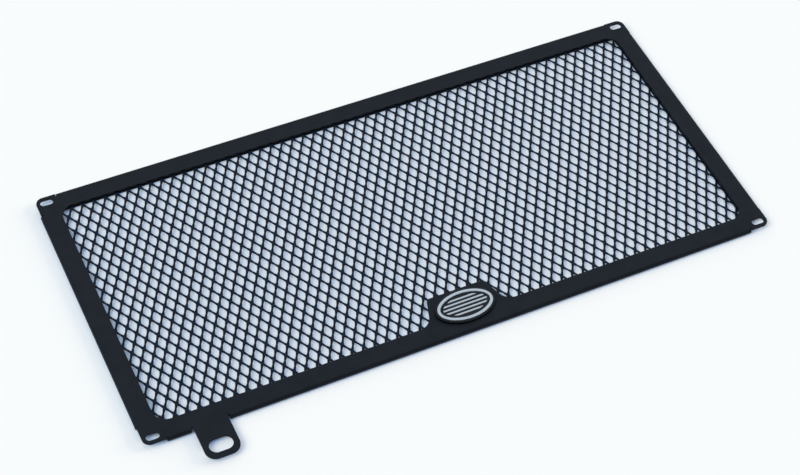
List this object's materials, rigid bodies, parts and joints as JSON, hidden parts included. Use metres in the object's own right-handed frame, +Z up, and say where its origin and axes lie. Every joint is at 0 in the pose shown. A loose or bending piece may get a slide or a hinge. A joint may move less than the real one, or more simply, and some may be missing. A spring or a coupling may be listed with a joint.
{
  "type": "motorcycle radiator guard",
  "caption": "Flat rectangular radiator guard: a black hemmed sheet frame that grips a diamond mesh, with slotted corner ears, a slotted fixing tab and an oval badge plate.",
  "frame": {"origin": "centre of the four corner slots, on the underside of the ears", "axes": "+X along the long sides, +Y away from the fixing tab, +Z up, out of the face that carries the badge"},
  "size_m": [0.35, 0.181, 0.005],
  "materials": {
    "frame_coat": "satin black powder coat on folded sheet",
    "mesh_coat": "black powder coat on expanded metal",
    "badge_plate": "black plate with bright satin raised ring and bars"
  },
  "bodies": {
    "root": {"frame": "frame_coat", "mesh_panel": "mesh_coat", "badge": "badge_plate"}
  },
  "joints": []
}
